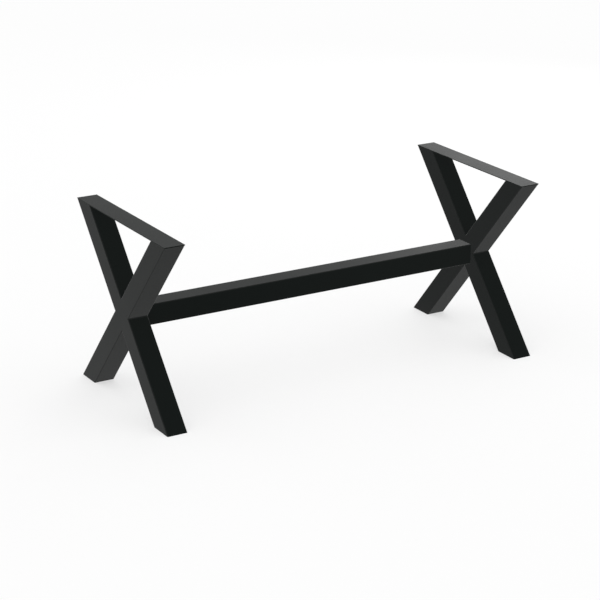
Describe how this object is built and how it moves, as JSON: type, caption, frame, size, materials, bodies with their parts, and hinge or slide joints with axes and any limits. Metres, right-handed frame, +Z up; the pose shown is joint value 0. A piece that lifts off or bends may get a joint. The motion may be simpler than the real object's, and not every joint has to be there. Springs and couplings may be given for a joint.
{
  "type": "x-frame table base",
  "caption": "Steel table base: crossed square-tube legs under a flat top strip at each end, joined by a square-tube crossbar.",
  "frame": {"origin": "on the floor, below the middle of the base", "axes": "+X along the crossbar, +Y across from foot to foot of a cross, +Z up to the table top"},
  "size_m": [1.595, 0.7, 0.7],
  "materials": {
    "powder_coat": "satin black powder coat",
    "black_fixing": "black oxide",
    "zinc_nut": "bright zinc plate"
  },
  "bodies": {
    "root": {"through_leg_left": "powder_coat", "upper_leg_left": "powder_coat", "lower_leg_left": "powder_coat", "foot_plate_through_left": "powder_coat", "foot_plate_lower_left": "powder_coat", "top_strip_left": "powder_coat", "spigot_left": "powder_coat", "through_leg_right": "powder_coat", "upper_leg_right": "powder_coat", "lower_leg_right": "powder_coat", "foot_plate_through_right": "powder_coat", "foot_plate_lower_right": "powder_coat", "top_strip_right": "powder_coat", "spigot_right": "powder_coat", "crossbar": "powder_coat", "bolt_left_outer": "black_fixing", "washer_left_outer": "black_fixing", "weld_nut_left_outer": "zinc_nut", "bolt_left_inner": "black_fixing", "washer_left_inner": "black_fixing", "weld_nut_left_inner": "zinc_nut", "bolt_right_outer": "black_fixing", "washer_right_outer": "black_fixing", "weld_nut_right_outer": "zinc_nut", "bolt_right_inner": "black_fixing", "washer_right_inner": "black_fixing", "weld_nut_right_inner": "zinc_nut"}
  },
  "joints": []
}
